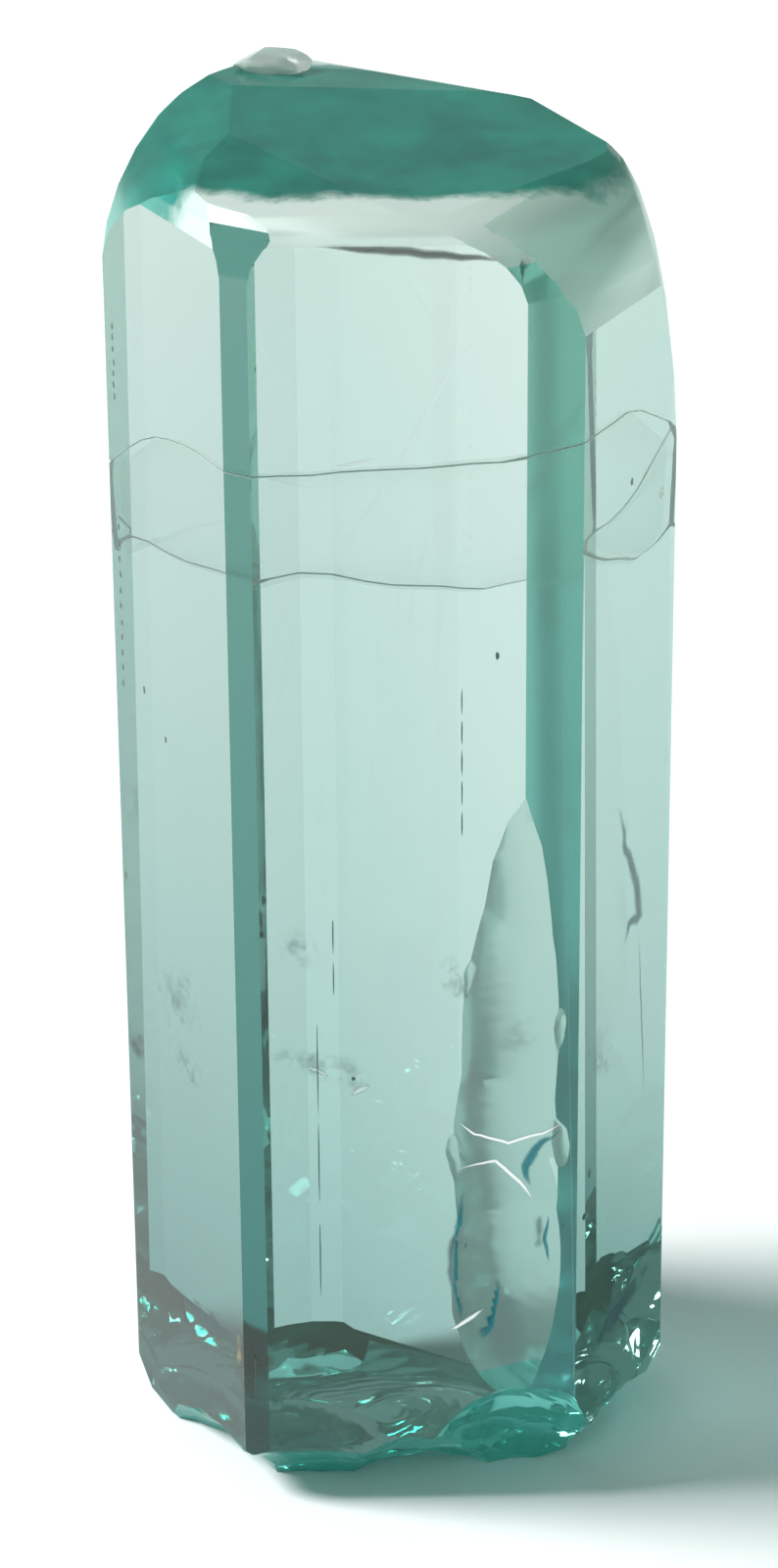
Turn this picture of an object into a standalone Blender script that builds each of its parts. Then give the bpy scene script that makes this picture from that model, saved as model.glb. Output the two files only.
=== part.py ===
"""Aquamarine crystal: one clear six-sided beryl prism with a near-flat termination and a broken base.

Run with: blender --background --python part.py
Units are metres and +Z is up. The crystal stands on its broken base at z = 0, its axis is the z axis,
and its broad front face looks along -Y. A bearing is in degrees, clockwise seen from above, from +Y.
"""

import math

import bpy
import bmesh
from mathutils import Euler, Matrix, Vector, noise

MM = 0.001

# Driving dimensions.
CRYSTAL_WIDTH = 18.0 * MM  # between the two outermost side edges
CRYSTAL_HEIGHT = 45.3 * MM  # from the base to the middle of the termination

HALF = CRYSTAL_WIDTH / 2

# The prism faces: name, bearing, and how far the face lies from the axis as a share of half the width.
# The broad ones, the two hidden side faces and the one at the back are the first-order prism. The narrow
# and slanting ones are the second-order prism, which is turned by 30 degrees.
PRISM_FACES = {
    "front": (180, 0.778),
    "narrow_right": (150, 0.901),
    "right": (120, 0.897),
    "back_right": (60, 0.836),
    "slant_right": (30, 0.758),
    "back": (0, 1.000),
    "slant_left": (-30, 1.035),
    "back_left": (-60, 0.875),
    "left": (-120, 0.858),
    "narrow_left": (-150, 0.914),
}

# The rounded shoulders. Each has its bearing, how far it comes in from the side, and how far it drops
# below the termination, both as a share of half the width. The two edges at the sides are worn the most.
SHOULDERS = {
    "front": (180, 0.150, 0.090),
    "narrow_right": (150, 0.230, 0.290),
    "right": (120, 0.400, 0.470),
    "right_edge": (92, 0.277, 1.140),
    "back_right": (60, 0.130, 0.905),
    "slant_right": (30, 0.098, 0.074),
    "back": (0, 0.070, 0.070),
    "slant_left": (-30, 0.107, 0.218),
    "back_left": (-60, 0.076, 0.083),
    "left_edge": (-98, 0.460, 0.510),
    "left": (-120, 0.130, 0.200),
    "narrow_left": (-150, 0.190, 0.270),
}
SHOULDER_CUTS = (12, 26, 40, 54, 68, 80)  # degrees round the shoulder's quarter ellipse

# The termination is almost the flat basal face. It falls towards the right and the front.
TERMINATION_FALL_RIGHT = math.radians(5.0)
TERMINATION_FALL_FRONT = math.radians(1.5)

EDGE_WEAR = 0.05 * MM  # width of the worn bevel on every natural edge

# The stub of a neighbouring crystal, broken off at the back left of the termination.
STUB_LENGTH = 2.7 * MM
STUB_HEIGHT = 0.16 * MM
STUB_DEPTH = 1.5 * MM
STUB_CENTRE = Vector((-3.7 * MM, 6.65 * MM, 0.0))

# A healed fracture crosses the whole crystal and comes out as a hairline groove round all its faces. It
# is almost level behind the front face, bends down inside, and is level again at the back.
FRACTURE_FRONT = 37.3 * MM  # its height at the middle of the front face
FRACTURE_BACK = 29.6 * MM
FRACTURE_BEND = (3.0 * MM, 14.5 * MM)  # where the bend starts and ends, measured from the front face
FRACTURE_RISE = 0.055  # slope towards the right at the front
FRACTURE_MOUTH = 0.036 * MM
FRACTURE_DEPTH = 0.14 * MM
FRACTURE_RIPPLE = 0.10 * MM
FRACTURE_STEPS = 56

# The scar is a long spall off the edge between the front face and the narrow right one. Each bite is a
# shallow dish: height of its middle, half its length, half its width, how far its middle lies to the
# right of the edge (a minus is to the left) and its depth (all in mm), then its lean in degrees and the
# bearing that it faces.
SCAR_BITES = {
    "scar_tip": (22.4, 2.4, 0.62, 0.12, 0.12, -8.0, 166),
    "scar_upper": (20.2, 3.5, 1.25, -0.15, 0.15, 1.0, 168),
    "scar_middle": (17.3, 4.3, 1.72, -0.33, 0.18, -2.0, 169),
    "scar_lower": (12.7, 4.7, 1.85, -0.45, 0.20, 2.0, 170),
    "scar_foot": (8.7, 3.0, 1.75, -0.66, 0.24, -4.0, 168),
}

# Small nicks that make the scar's outline ragged, in the same terms.
SCAR_NICKS = {
    "nick_left_upper": (19.6, 0.80, 0.26, -1.70, 0.05, -8.0, 176),
    "nick_left_lower": (13.1, 0.90, 0.28, -2.20, 0.06, 10.0, 176),
    "nick_right_upper": (20.4, 0.80, 0.34, 0.86, 0.11, 14.0, 160),
    "nick_right_middle": (17.6, 1.20, 0.50, 1.18, 0.14, -10.0, 158),
    "nick_right_lower": (13.2, 1.20, 0.55, 1.25, 0.17, 14.0, 157),
    "nick_ledge": (13.0, 0.40, 1.05, 0.35, 0.10, 62.0, 165),
}

# The broken base. A slope takes the rim away along a bearing: how far up the side it starts, and how
# far in under the crystal it ends (mm).
BASE_SLOPES = {
    "front_left": (-172, 1.2, 1.4),
    "front": (178, 2.0, 1.5),
    "front_right": (158, 3.0, 2.0),
    "right_front": (131, 1.6, 1.0),
    "right": (103, 1.6, 0.7),
    "back_right": (66, 0.9, 1.7),
    "back": (17, 1.1, 1.8),
    "back_left": (-41, 0.9, 1.7),
    "left_back": (-82, 1.3, 0.8),
    "left": (-113, 0.5, 0.5),
    "left_front": (-141, 1.6, 1.3),
}

# Shell-shaped dishes broken out of the base: bearing, distance from the axis and height of the middle,
# the rise in degrees of the way it faces, half its width, half its length and its depth (mm).
BASE_DISHES = {
    "dish_front_left": (-168, 6.7, 1.1, -44, 2.9, 1.4, 0.30),
    "dish_front": (172, 6.4, 1.6, -50, 2.2, 1.8, 0.36),
    "dish_front_right": (153, 7.1, 1.8, -36, 1.7, 2.1, 0.34),
    "dish_right": (118, 7.9, 1.2, -44, 2.6, 1.3, 0.30),
    "dish_right_back": (84, 7.6, 1.2, -56, 2.0, 1.8, 0.34),
    "dish_back_right": (38, 6.5, 0.0, -50, 3.3, 1.8, 0.50),
    "dish_back_left": (-22, 7.6, 0.2, -46, 3.0, 1.5, 0.42),
    "dish_left_back": (-70, 7.3, 0.2, -52, 2.3, 1.5, 0.40),
    "dish_left": (-128, 7.4, 0.9, -46, 2.4, 1.5, 0.36),
    "dish_under_middle": (48, 2.0, 0.0, -86, 3.9, 2.7, 0.80),
    "dish_under_left": (-80, 4.4, 0.1, -76, 1.9, 3.2, 0.65),
    "dish_under_right": (112, 4.9, 0.1, -78, 2.2, 2.4, 0.50),
    "dish_under_front": (-172, 4.0, 0.1, -74, 3.2, 1.3, 0.45),
}

SCAR_DETAIL = 5  # how many times the round of each bite is divided
BASE_DETAIL = 4  # the same for the dishes of the base, whose break is rough, not smooth
SCAR_ROUGHNESS = 0.015 * MM
BASE_ROUGHNESS = 0.09 * MM

BERYL_COLOUR = (0.57, 0.79, 0.76, 1.0)
BERYL_IOR = 1.577


def clear_scene():
    for thing in list(bpy.data.objects):
        bpy.data.objects.remove(thing)
    for group in list(bpy.data.collections):
        bpy.data.collections.remove(group)


def collection(name):
    group = bpy.data.collections.new(name)
    bpy.context.scene.collection.children.link(group)
    return group


def outward(bearing, rise=0.0):
    """The unit vector that points out along a bearing, tipped up by rise (both in degrees)."""
    turn = math.radians(bearing)
    tip = math.radians(rise)
    return Vector((math.sin(turn) * math.cos(tip), math.cos(turn) * math.cos(tip), math.sin(tip)))


def reach(name):
    """How far a prism face lies from the axis."""
    return PRISM_FACES[name][1] * HALF


def cut_away(bm, point, normal):
    """Cuts the solid along a plane, drops what lies outside it and closes the cut with one face."""
    parts = bm.verts[:] + bm.edges[:] + bm.faces[:]
    cut = bmesh.ops.bisect_plane(
        bm, geom=parts, plane_co=point, plane_no=normal, clear_outer=True, dist=1e-8
    )
    rim = [part for part in cut["geom_cut"] if isinstance(part, bmesh.types.BMEdge)]
    if rim:
        bmesh.ops.holes_fill(bm, edges=rim)


def termination_height(x, y):
    """The height of the termination above a point of the base."""
    return CRYSTAL_HEIGHT - x * math.tan(TERMINATION_FALL_RIGHT) + y * math.tan(TERMINATION_FALL_FRONT)


def cut_prism(bm):
    for bearing, share in PRISM_FACES.values():
        side = outward(bearing)
        cut_away(bm, side * share * HALF, side)


def cut_termination(bm):
    normal = Vector((math.tan(TERMINATION_FALL_RIGHT), -math.tan(TERMINATION_FALL_FRONT), 1.0)).normalized()
    cut_away(bm, Vector((0, 0, CRYSTAL_HEIGHT)), normal)


def cut_shoulders(bm):
    """Rounds each shoulder with planes that touch a quarter ellipse."""
    for bearing, inset_share, drop_share in SHOULDERS.values():
        inset = inset_share * HALF
        drop = drop_share * HALF
        side = outward(bearing)
        heart = max(vert.co.dot(side) for vert in bm.verts) - inset
        top = termination_height(*(side * heart).xy)
        for step in SHOULDER_CUTS:
            turn = math.radians(step)
            out = heart + inset * math.cos(turn)
            up = top - drop + drop * math.sin(turn)
            normal = side * (math.cos(turn) / inset) + Vector((0, 0, math.sin(turn) / drop))
            point = side * out
            point.z = up
            cut_away(bm, point, normal.normalized())


def crystal_body(group):
    """The whole crystal before it was chipped and broken off."""
    bm = bmesh.new()
    bmesh.ops.create_cube(bm, size=1.0)
    block = Vector((CRYSTAL_WIDTH * 1.5, CRYSTAL_WIDTH * 1.5, CRYSTAL_HEIGHT * 1.2))
    bmesh.ops.scale(bm, vec=block, verts=bm.verts)
    bmesh.ops.translate(bm, vec=Vector((0, 0, block.z / 2)), verts=bm.verts)
    cut_prism(bm)
    cut_termination(bm)
    cut_shoulders(bm)
    cut_base_slopes(bm)
    bmesh.ops.remove_doubles(bm, verts=bm.verts, dist=2e-6)
    bmesh.ops.dissolve_degenerate(bm, edges=bm.edges, dist=2e-6)
    mesh = bpy.data.meshes.new("aquamarine_crystal")
    bm.to_mesh(mesh)
    bm.free()
    body = bpy.data.objects.new("aquamarine_crystal", mesh)
    group.objects.link(body)
    wear = body.modifiers.new("edge_wear", "BEVEL")
    wear.width = EDGE_WEAR
    wear.segments = 1
    wear.limit_method = "ANGLE"
    wear.angle_limit = math.radians(25)
    return body


def ellipsoid(name, group, centre, radii, detail=4, roughness=0.0):
    """An ellipsoid that is taken away from the crystal or joined to it."""
    bm = bmesh.new()
    bmesh.ops.create_icosphere(bm, subdivisions=detail, radius=1.0)
    bmesh.ops.scale(bm, vec=Vector(radii), verts=bm.verts)
    for vert in bm.verts:
        place = vert.co / MM * 2.3 + Vector((len(name), radii[0] / MM, radii[2] / MM))
        vert.co += vert.co.normalized() * noise.noise(place) * 2 * roughness
    bmesh.ops.translate(bm, vec=Vector(centre), verts=bm.verts)
    mesh = bpy.data.meshes.new(name)
    bm.to_mesh(mesh)
    bm.free()
    cutter = bpy.data.objects.new(name, mesh)
    cutter.hide_render = True
    cutter.display_type = "WIRE"
    group.objects.link(cutter)
    return cutter


def stub(group):
    """A low rough lump: a flat ellipsoid with breaks across it."""
    radii = (STUB_LENGTH / 2, STUB_DEPTH / 2, STUB_HEIGHT * 3.0)
    lump = ellipsoid("stub", group, (0, 0, 0), radii, detail=3, roughness=STUB_HEIGHT * 0.4)
    bm = bmesh.new()
    bm.from_mesh(lump.data)
    cut_away(bm, Vector((0, 0, STUB_HEIGHT * 1.1)), Vector((0.08, -0.10, 1.0)).normalized())
    cut_away(bm, Vector((-STUB_LENGTH * 0.30, 0, STUB_HEIGHT * 0.6)), Vector((-0.5, 0.2, 1.0)).normalized())
    cut_away(bm, Vector((STUB_LENGTH * 0.22, 0, STUB_HEIGHT * 0.5)), Vector((0.4, -0.3, 1.0)).normalized())
    top = termination_height(STUB_CENTRE.x, STUB_CENTRE.y)
    bmesh.ops.translate(bm, vec=STUB_CENTRE + Vector((0, 0, top)), verts=bm.verts)
    bm.to_mesh(lump.data)
    bm.free()
    return lump


def dish(name, group, middle, facing_way, size, detail, roughness, lean=0.0):
    """A cutter that leaves a dish in a surface that faces along a bearing and rise.

    The size is half its width, half its length and its depth, in mm.
    """
    bearing, rise = facing_way
    half_width, half_length, depth = (length * MM for length in size)
    narrow = min(half_width, half_length)
    bulge = (narrow * narrow + depth * depth) / (2 * depth)
    facing = outward(bearing, rise)
    radii = (bulge * half_width / narrow, bulge, bulge * half_length / narrow)
    turn = Euler((math.radians(-rise), 0, 0)).to_matrix()
    turn = Euler((0, 0, math.radians(-bearing))).to_matrix() @ turn
    turn = turn @ Euler((0, math.radians(lean), 0)).to_matrix()
    cutter = ellipsoid(name, group, Vector((0, 0, 0)), radii, detail, roughness)
    cutter.data.transform(turn.to_4x4())
    cutter.data.transform(Matrix.Translation(Vector(middle) + facing * (bulge - depth)))
    return cutter


def scar_cutters(group):
    """The bites that run down the edge between the front face and the narrow right face."""
    front = reach("front")
    narrow_turn = math.radians(180 - PRISM_FACES["narrow_right"][0])
    edge_x = (reach("narrow_right") - front * math.cos(narrow_turn)) / math.sin(narrow_turn)
    cutters = []
    for name, (height, long, wide, aside, depth, lean, bearing) in {**SCAR_BITES, **SCAR_NICKS}.items():
        # The bite's chord meets the front face where its left end lies, or the narrow face at its right.
        tilt = math.tan(math.radians(180 - bearing))
        chord_depth = wide * tilt
        if aside > wide:
            chord_depth += (aside - wide) * math.tan(narrow_turn)
        middle = Vector((edge_x + aside * MM, -front + chord_depth * MM, height * MM))
        size = (wide, long, depth)
        cutters.append(
            dish(name, group, middle, (bearing, 0.0), size, SCAR_DETAIL, SCAR_ROUGHNESS, lean)
        )
    return cutters


def base_cutters(group):
    cutters = []
    for name, (bearing, out, height, rise, *size) in BASE_DISHES.items():
        middle = outward(bearing) * out * MM
        middle.z = height * MM
        cutters.append(dish(name, group, middle, (bearing, rise), size, BASE_DETAIL, BASE_ROUGHNESS))
    return cutters


def skin_distance(bearing):
    """How far the prism's surface is from the axis along a bearing."""
    return min(
        share * HALF / math.cos(math.radians(bearing - side))
        for side, share in PRISM_FACES.values()
        if math.cos(math.radians(bearing - side)) > 0.3
    )


def fracture_height(place):
    """The height of the fracture's bent surface over a point of the base."""
    start, end = FRACTURE_BEND
    share = min(1.0, max(0.0, (place.y + reach("front") - start) / (end - start)))
    share *= share * (3 - 2 * share)
    front = FRACTURE_FRONT + place.x * FRACTURE_RISE
    ripple = noise.noise(place / MM * 0.55) * FRACTURE_RIPPLE * 2
    return front + (FRACTURE_BACK - front) * share + ripple


def fracture_cutter(group):
    """A ring with a wedge for its section, whose thin inner rim is the bottom of the groove."""
    outside = 0.6 * MM
    spread = FRACTURE_MOUTH / 2 * (FRACTURE_DEPTH + outside) / FRACTURE_DEPTH
    bm = bmesh.new()
    rings = []
    for step in range(FRACTURE_STEPS):
        bearing = 360 * step / FRACTURE_STEPS
        side = outward(bearing)
        skin = skin_distance(bearing)
        tip = side * (skin - FRACTURE_DEPTH)
        tip.z = fracture_height(side * skin)
        rim = side * (skin + outside)
        rim.z = tip.z
        lift = Vector((0, 0, spread))
        rings.append([bm.verts.new(point) for point in (tip, rim + lift, rim - lift)])
    for ring, after in zip(rings, rings[1:] + rings[:1]):
        for corner in range(3):
            along = (corner + 1) % 3
            bm.faces.new((ring[corner], ring[along], after[along], after[corner]))
    bmesh.ops.recalc_face_normals(bm, faces=bm.faces)
    mesh = bpy.data.meshes.new("fracture_groove")
    bm.to_mesh(mesh)
    bm.free()
    cutter = bpy.data.objects.new("fracture_groove", mesh)
    cutter.hide_render = True
    cutter.display_type = "WIRE"
    group.objects.link(cutter)
    return cutter


def cut_base_slopes(bm):
    """Breaks the rim of the base off along each side."""
    for bearing, rise, under in BASE_SLOPES.values():
        side = outward(bearing)
        rim = max(vert.co.dot(side) for vert in bm.verts)
        normal = (side * rise - Vector((0, 0, under))).normalized()
        cut_away(bm, side * (rim - under * MM), normal)


def join_or_cut(body, other, operation):
    step = body.modifiers.new(other.name, "BOOLEAN")
    step.operation = operation
    step.solver = "EXACT"
    step.object = other


def beryl():
    """Clear blue-green beryl."""
    material = bpy.data.materials.new("aquamarine")
    material.use_nodes = True
    shader = material.node_tree.nodes["Principled BSDF"]
    shader.inputs["Base Color"].default_value = BERYL_COLOUR
    shader.inputs["Roughness"].default_value = 0.03
    shader.inputs["Metallic"].default_value = 0.0
    shader.inputs["IOR"].default_value = BERYL_IOR
    shader.inputs["Transmission Weight"].default_value = 1.0
    return material


def centre_depth(groups):
    """Moves everything so that the prism's front and back faces are equally far from the origin."""
    for group in groups:
        for thing in group.objects:
            thing.location.y -= (reach("back") - reach("front")) / 2


def main():
    clear_scene()
    crystal = collection("Aquamarine Crystal")
    cutters = collection("Cutters")
    body = crystal_body(crystal)
    join_or_cut(body, stub(cutters), "UNION")
    for cutter in [fracture_cutter(cutters)] + scar_cutters(cutters) + base_cutters(cutters):
        join_or_cut(body, cutter, "DIFFERENCE")
    body.data.materials.append(beryl())
    centre_depth((crystal, cutters))


main()
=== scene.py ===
"""Aquamarine crystal: the looks of one clear beryl prism that stands on its broken base.

Units are metres and +Z is up. The broad front face looks along -Y. A bearing is in degrees, clockwise
seen from above, from +Y.
"""

import math

import bmesh
import bpy
from bpy.props import FloatProperty, FloatVectorProperty, PointerProperty, StringProperty
from mathutils import Matrix, Vector, noise
from mathutils.bvhtree import BVHTree


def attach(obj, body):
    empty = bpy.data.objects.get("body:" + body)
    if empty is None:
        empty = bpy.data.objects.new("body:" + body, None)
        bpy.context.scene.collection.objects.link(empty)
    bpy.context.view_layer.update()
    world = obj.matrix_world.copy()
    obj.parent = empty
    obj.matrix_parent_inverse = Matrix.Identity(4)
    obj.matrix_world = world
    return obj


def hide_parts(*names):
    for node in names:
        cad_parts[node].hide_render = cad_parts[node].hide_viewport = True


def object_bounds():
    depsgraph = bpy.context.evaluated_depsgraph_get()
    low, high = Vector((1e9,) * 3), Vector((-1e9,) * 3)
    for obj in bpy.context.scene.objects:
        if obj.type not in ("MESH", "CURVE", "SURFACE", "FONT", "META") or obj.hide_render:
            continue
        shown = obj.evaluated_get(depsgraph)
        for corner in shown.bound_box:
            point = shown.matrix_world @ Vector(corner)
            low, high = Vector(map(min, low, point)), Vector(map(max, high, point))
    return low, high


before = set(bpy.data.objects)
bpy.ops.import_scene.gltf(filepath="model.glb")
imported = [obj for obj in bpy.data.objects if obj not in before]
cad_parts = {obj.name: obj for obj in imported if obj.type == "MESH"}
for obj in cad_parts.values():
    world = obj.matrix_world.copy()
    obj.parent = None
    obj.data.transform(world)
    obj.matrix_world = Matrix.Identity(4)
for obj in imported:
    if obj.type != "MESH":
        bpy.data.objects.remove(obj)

CAD_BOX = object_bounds()
LOW, HIGH = (Vector(corner) for corner in CAD_BOX)
NODE = "aquamarine_crystal"
MM = 0.001

bl_info = {
    "name": "Aquamarine Crystal",
    "version": (1, 0, 0),
    "blender": (4, 5, 0),
    "location": "View3D > Sidebar > Crystal",
    "description": "Builds a clear aquamarine crystal with its fractures, flaws and a plain studio",
    "category": "Add Mesh",
}

# The prism's faces, as the frame has them, with the bearing of each.
FACE_BEARINGS = {
    "front": 180,
    "narrow_right": 150,
    "right": 120,
    "back_right": 60,
    "slant_right": 30,
    "back": 0,
    "slant_left": -30,
    "back_left": -60,
    "left": -120,
    "narrow_left": -150,
}
EDGE_BEARINGS = (165, 135, 90, 45, 15, -15, -45, -90, -135, -165)  # the worn edges between the faces
FRONT_SHARE = 0.778  # how far the front face is from the axis, as a share of half the width
AXIS = Vector((0, LOW.y + FRONT_SHARE * HIGH.x, 0))
SHOULDER_FOOT = HIGH.z * 0.85  # the termination and its shoulders are above this
STUB_PLACE = Vector((-3.7 * MM, AXIS.y + 6.65 * MM, HIGH.z))
STUB_REACH = 1.9 * MM
STUB_HEIGHT = 1.0 * MM
STUB_CROWN = 0.2 * MM  # this far down from its top the stub is rough all round
SCAR_PLACE = Vector((1.2 * MM, LOW.y + 1.6 * MM, 27.0 * MM))  # the spall is right, in front and below
BASE_RIM = 5.2 * MM  # the break is below this
BREAK_SHADE_LINE = 6.2 * MM  # the slopes of the break behind this carry painted shade
BASAL_CENTRE = Vector((-0.5 * MM, 0.5 * MM, 0))  # the dull middle of the termination is an oval
BASAL_RADII = Vector((9.4 * MM, 6.3 * MM, 0))
ZONE_LEAN = 0.6  # how far a zone of colour rises for each step to the left
FLAT_AREA = 12 * MM * MM  # a level patch over this is a crystal face, and a smaller one is rounding
SHARP_ANGLE = math.radians(28)
FACE_RIM_ANGLE = math.radians(0.4)  # the rim of a crystal face is sharp from this angle on


# ---------------------------------------------------------------- small helpers


def linear(hex_colour):
    """An sRGB hex colour as linear red, green, blue and alpha."""
    channels = [int(hex_colour[i:i + 2], 16) / 255 for i in (1, 3, 5)]
    return tuple(c / 12.92 if c <= 0.04045 else ((c + 0.055) / 1.055) ** 2.4 for c in channels) + (1.0,)


def outward(bearing):
    """The level direction of a bearing."""
    turn = math.radians(bearing)
    return Vector((math.sin(turn), math.cos(turn), 0))


def rightward(bearing):
    """The level direction to the right, for someone who looks at the face of that bearing."""
    turn = math.radians(bearing)
    return Vector((-math.cos(turn), math.sin(turn), 0))


def node(tree, kind, settings=None):
    """Adds a node. Each setting is an attribute or an input, and an output given as its value is linked."""
    made = tree.nodes.new(kind)
    for key, value in (settings or {}).items():
        if isinstance(value, bpy.types.NodeSocket):
            tree.links.new(value, made.inputs[key])
        elif isinstance(key, int) or key in made.inputs:
            made.inputs[key].default_value = value
        else:
            setattr(made, key, value)
    return made


def new_material(name):
    """An empty material and its node tree."""
    material = bpy.data.materials.new(name)
    material.use_nodes = True
    material.node_tree.nodes.clear()
    return material, material.node_tree


def put_in_scene(mesh, name):
    """A new object that shows the mesh."""
    piece = bpy.data.objects.new(name, mesh)
    bpy.context.scene.collection.objects.link(piece)
    return piece


# ---------------------------------------------------------------- sizes and colours


class CrystalSizes(bpy.types.PropertyGroup):
    """Sizes of the films, the light and the camera."""

    film_thickness: FloatProperty(
        name="Film thickness", description="Thickness of the films that stand for fractures and cracks",
        default=0.01 * MM, unit="LENGTH")
    floor_half: FloatProperty(
        name="Floor, half width", description="From the middle of the floor to its edge",
        default=0.75, unit="LENGTH")
    floor_gap: FloatProperty(
        name="Floor gap", description="How far the floor lies under the crystal, so that they never meet",
        default=0.03 * MM, unit="LENGTH")
    room_strength: FloatProperty(
        name="Room light", description="Strength of the even light of the room", default=0.40)
    window_place: FloatVectorProperty(
        name="Window", description="Middle of the soft light at the left",
        default=(-1.30, 0.10, 1.22), subtype="TRANSLATION")
    window_aim: FloatVectorProperty(
        name="Window aim", description="The point that the soft light looks at",
        default=(0.0, 0.0, 0.015), subtype="TRANSLATION")
    window_width: FloatProperty(
        name="Window width", description="Width of the soft light, which sets how soft the shadow is",
        default=0.60, unit="LENGTH")
    window_power: FloatProperty(
        name="Window power", description="Power of the soft light, in watts", default=53.0)
    camera_aim: FloatVectorProperty(
        name="Camera aim", description="The point in the middle of the picture",
        default=(-0.18 * MM, -1.0 * MM, 23.23 * MM), subtype="TRANSLATION")
    camera_distance: FloatProperty(
        name="Camera distance", description="From the camera to the point it looks at",
        default=0.1687, unit="LENGTH")
    camera_rise: FloatProperty(
        name="Camera rise", description="How far the camera looks down",
        default=math.radians(26), subtype="ANGLE")
    camera_roll: FloatProperty(
        name="Camera roll", description="How far the camera's right side is tipped up",
        default=math.radians(-0.46), subtype="ANGLE")
    camera_lens: FloatProperty(
        name="Lens", description="Focal length on a 36 mm sensor, in millimetres", default=118.2)


class CrystalColours(bpy.types.PropertyGroup):
    """Colours of the beryl, its flaws and the stage, as sRGB hex values."""

    body: StringProperty(
        name="Body", description="What is left of white light after 10 mm of beryl", default="#E0EDEA")
    upper: StringProperty(
        name="Upper zone", description="Tint of the surface near the termination", default="#F7F4F3")
    middle: StringProperty(
        name="Middle zone", description="Tint of the surface half way down", default="#D7E8E7")
    lower: StringProperty(
        name="Lower zone", description="Tint of the surface near the base, which is bluer",
        default="#ACC8C9")
    left: StringProperty(name="Left face, top", description="Tint at the termination", default="#F4F6F4")
    left_low: StringProperty(name="Left face, foot", description="Tint at the base", default="#5E9C98")
    right: StringProperty(name="Right face, top", description="Tint at the termination", default="#F0F4F1")
    right_low: StringProperty(name="Right face, foot", description="Tint at the base", default="#C6D8D4")
    # The narrow faces' teal tints, deeper at the foot, are painted shade: they stand in for the dark bands
    # that light bent and turned back inside the crystal gives there.
    narrow_left: StringProperty(
        name="Narrow left face, top", description="Tint of the face seen the long way", default="#3F7A70")
    narrow_left_low: StringProperty(
        name="Narrow left face, foot", description="Tint of the face seen the long way", default="#0A6864")
    narrow_right: StringProperty(
        name="Narrow right face, top", description="Tint of the face seen the long way", default="#A8F0DC")
    narrow_right_low: StringProperty(
        name="Narrow right face, foot", description="Tint of the face seen the long way", default="#48D8E4")
    # Painted shade: the termination's dark teal stands in for what looking down the crystal's length gives.
    basal: StringProperty(
        name="Basal face", description="Tint of the termination, seen down the length", default="#1FAE9B")
    worn: StringProperty(name="Worn", description="Tint of the worn front shoulders", default="#F6FFFB")
    shoulder: StringProperty(name="Shoulder", description="Tint of the side shoulders", default="#E2F6EE")
    stub: StringProperty(name="Stub", description="Tint of the rough stub", default="#F0F6F3")
    broken: StringProperty(name="Broken", description="Tint of the break in front", default="#8CFFF2")
    # Painted shade: the dark green of the break's back slopes stands in for the dark band that the shadowed
    # floor under the crystal gives.
    shaded_break: StringProperty(name="Shaded", description="Colour of the break behind", default="#08A080")
    edge: StringProperty(name="Edge", description="Tint of the worn edges", default="#C0DED6")
    scar: StringProperty(name="Scar", description="Tint of the spall", default="#D6EBE5")
    fracture: StringProperty(
        name="Fracture", description="Colour of the healed fracture across the crystal", default="#D8FFE4")
    veil: StringProperty(name="Veil", description="Colour of healed fractures", default="#8FBDB5")
    open_crack: StringProperty(name="Open crack", description="Colour of air in a crack", default="#FFFFFF")
    # Shade also colours the dark blotches on the break and the spall, where it is painted shade.
    shade: StringProperty(
        name="Shade", description="Colour of a crack seen from its dark side", default="#10909E")
    rust: StringProperty(name="Rust", description="Colour of the iron stain", default="#8E8468")
    # The rim colour is painted shade under the rim.
    rim: StringProperty(name="Rim", description="Colour of the line under the rim", default="#7C8384")
    speck: StringProperty(name="Speck", description="Colour of dark specks", default="#2F5A50")
    floor: StringProperty(name="Floor", description="Colour of the floor", default="#E1E1E1")
    skylight: StringProperty(name="Skylight", description="Colour of the room's light", default="#DCFFF7")
    window: StringProperty(name="Window", description="Colour of the window's light", default="#FFFFFF")


# ---------------------------------------------------------------- materials

BERYL_INDEX = 1.577
DEPTH = 10 * MM  # the body colour is what this much beryl leaves of white light
BASAL_ROUGHNESS = 0.22
BASAL_CLEARNESS = 0.68
BASAL_RIM = (1.16, 1.06)  # where the basal face begins and is full, in radii of its oval
BASAL_LEAN = 0.16  # how much less far the oval reaches on the right than on the left
BASAL_RAG = 0.22  # how ragged its rim is, in radii
RAG_SIZE = 1.4 * MM
BLOTCH_SIZE = 2.6 * MM
SHELL_RIPPLE_PITCH = 0.5 * MM
SHELL_RIPPLE_HEIGHT = 0.02 * MM
RINGS_PER_UNIT = 0.314  # a wave texture of scale 0.314 has one ring for each unit of length
SPECK_MOTTLE = 0.2 * MM
PATCH_RANGE = (0.42, 0.68)  # a film's cloud is bare up to the first value and full from the second

# How the films look: strength, size of a patch, how far the patches cover the film, share of mirror.
FILMS = {
    "healed_fracture": (0.08, 0.9 * MM, 0.25, 0.0),
    "wispy_veil": (0.40, 0.6 * MM, 0.0, 0.0),
    "iron_stain": (0.90, 0.5 * MM, 0.30, 0.0),
    "painted_shade_film": (0.85, 0.6 * MM, 0.25, 0.0),
    "air_in_crack": (1.00, 0.5 * MM, 0.40, 1.0),
    "shaded_crack": (0.75, 0.5 * MM, 0.30, 0.0),
    "rim_shade": (0.85, 0.8 * MM, 0.30, 0.0),
}


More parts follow.
